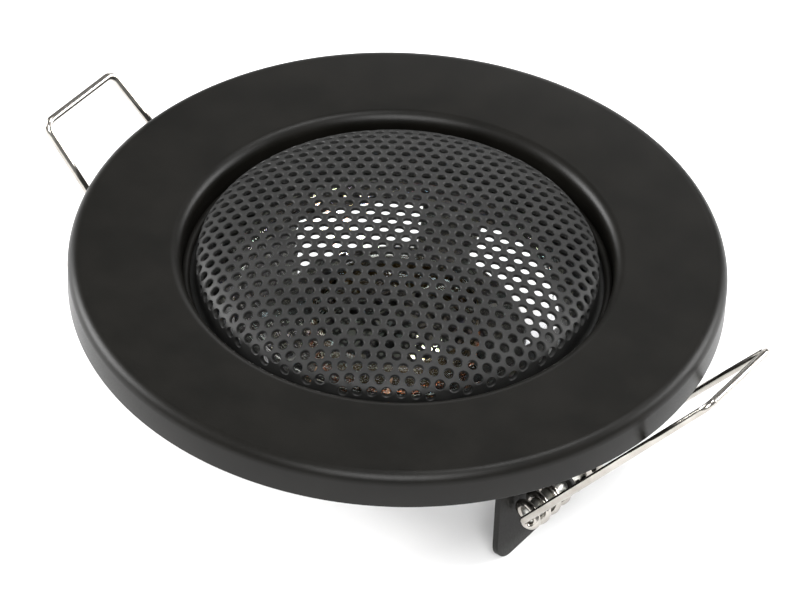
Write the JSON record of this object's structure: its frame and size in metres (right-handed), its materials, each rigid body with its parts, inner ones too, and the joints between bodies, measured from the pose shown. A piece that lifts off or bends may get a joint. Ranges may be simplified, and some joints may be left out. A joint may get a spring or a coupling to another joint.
{
  "type": "flush-mount loudspeaker",
  "caption": "Round flush-mount loudspeaker in a black pressed bezel, with a domed perforated grille, a small clear-cone driver and two sprung wire clips that hold it in a panel hole",
  "frame": {"origin": "on the axis of the ring, in the plane of the panel face that the bezel's skirt seats on", "axes": "+Z out of the front of the grille, +X towards the right-hand clip, +Y up when the clips stand level"},
  "size_m": [0.0942, 0.08, 0.0352],
  "materials": {
    "bezel_paint": "satin black powder coat",
    "collar_paint": "matt black paint",
    "grille_paint": "satin black paint over perforated steel",
    "spring_wire": "dull nickel plate",
    "zinc_steel": "zinc plate",
    "black_steel": "black zinc plate",
    "gasket_foam": "closed-cell foam",
    "basket_paint": "satin dark grey paint",
    "clear_film": "clear polyester film",
    "amber_film": "dark amber polyimide film",
    "enamelled_copper": "enamelled copper wire",
    "ferrite": "sintered ferrite",
    "phenolic_board": "pressed phenolic board",
    "tinned_brass": "tinned brass",
    "lead_braid": "braided copper lead"
  },
  "bodies": {
    "housing": {"bezel_ring": "bezel_paint", "spigot_collar": "collar_paint", "grille_dome": "grille_paint", "grille_snap_ring": "collar_paint", "front_gasket": "gasket_foam", "rear_gasket": "gasket_foam", "driver_basket": "basket_paint", "surround": "clear_film", "top_plate": "black_steel", "magnet": "ferrite", "pole_yoke": "black_steel", "basket_rivets": "zinc_steel", "terminal_board": "phenolic_board", "terminal_positive": "tinned_brass", "terminal_negative": "tinned_brass", "terminal_rivets": "zinc_steel", "lead_positive": "lead_braid", "lead_negative": "lead_braid", "clip_pin_right": "zinc_steel", "clip_pin_left": "zinc_steel"},
    "diaphragm": {"cone": "clear_film", "centre_dome": "clear_film", "coil_former": "amber_film", "voice_coil": "enamelled_copper"},
    "clip_right": {"spring_clip_right": "spring_wire"},
    "clip_left": {"spring_clip_left": "spring_wire"}
  },
  "joints": [
    {"name": "clip_right_fold", "type": "hinge", "parent": "housing", "child": "clip_right", "pos_m": [0.0258, 0, -0.0186], "axis": [0, 1, 0], "range_deg": [0, 140], "stiffness_Nm_per_rad": 0.1, "springref_deg": -17.19},
    {"name": "clip_left_fold", "type": "hinge", "parent": "housing", "child": "clip_left", "pos_m": [-0.0258, 0, -0.0186], "axis": [0, -1, 0], "range_deg": [0, 140], "stiffness_Nm_per_rad": 0.1, "springref_deg": -17.19},
    {"name": "diaphragm_travel", "type": "slide", "parent": "housing", "child": "diaphragm", "axis": [0, 0, 1], "range_m": [-0.0008, 0.0008], "stiffness_N_per_m": 1500, "deforming": ["surround", "lead_positive", "lead_negative"]}
  ]
}
